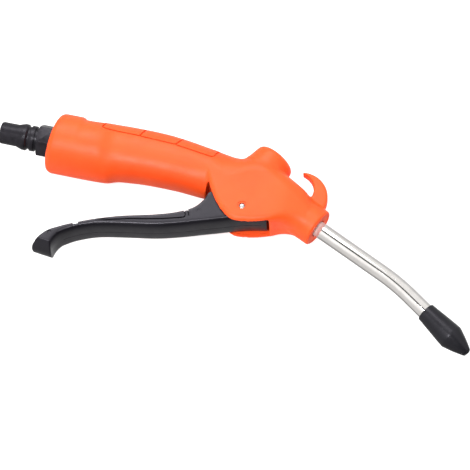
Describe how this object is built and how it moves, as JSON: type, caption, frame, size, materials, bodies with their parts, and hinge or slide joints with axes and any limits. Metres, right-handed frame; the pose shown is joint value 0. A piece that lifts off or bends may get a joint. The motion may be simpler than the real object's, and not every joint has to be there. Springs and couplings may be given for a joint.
{
  "type": "pneumatic air duster",
  "caption": "Pistol-handled air duster with a long squeeze lever, a male quick-connect inlet plug, a bent nozzle tube with a rubber tip and a hanging hook.",
  "frame": {"origin": "middle of the straight nose of the inlet plug, on the plug's axis", "axes": "+X along the handle's axis towards the nozzle, +Y from the lever side towards the valve boss and the hook, +Z out of the tool's side, so the tool lies on its side"},
  "size_m": [0.2481, 0.0847, 0.0304],
  "materials": {
    "orange_plastic": "moulded, satin",
    "grey_plastic": "moulded, satin",
    "black_metal": "black oxide, satin",
    "steel": "polished",
    "brass": "turned",
    "rubber": "matte"
  },
  "bodies": {
    "housing": {"body": "orange_plastic", "inlet_insert": "brass", "inlet_plug": "black_metal", "plug_seal": "rubber", "lever_pin": "steel", "valve_seat": "brass", "seat_o_ring": "rubber", "seat_lower_o_ring": "rubber", "stem_o_ring": "rubber", "valve_spring": "steel", "nozzle_insert": "brass", "nozzle_o_ring": "rubber", "nozzle_collar": "brass", "nozzle_tube": "steel", "rubber_tip": "rubber"},
    "lever": {"lever": "grey_plastic"},
    "valve": {"valve_stem": "brass", "poppet_seal": "rubber"}
  },
  "joints": [
    {"name": "lever_pivot", "type": "hinge", "parent": "housing", "child": "lever", "pos_m": [0.12245, -0.018, 0], "axis": [0, 0, -1], "range_deg": [0, 14], "stiffness_Nm_per_rad": 0.25, "springref_deg": -22.92},
    {"name": "valve_slide", "type": "slide", "parent": "housing", "child": "valve", "axis": [0.454, 0.891, 0], "range_m": [0, 0.0012], "deforming": ["valve_spring"]}
  ],
  "couplings": [
    {"joint": "valve_slide", "follows": "lever_pivot", "m_per_rad": 0.0038}
  ]
}
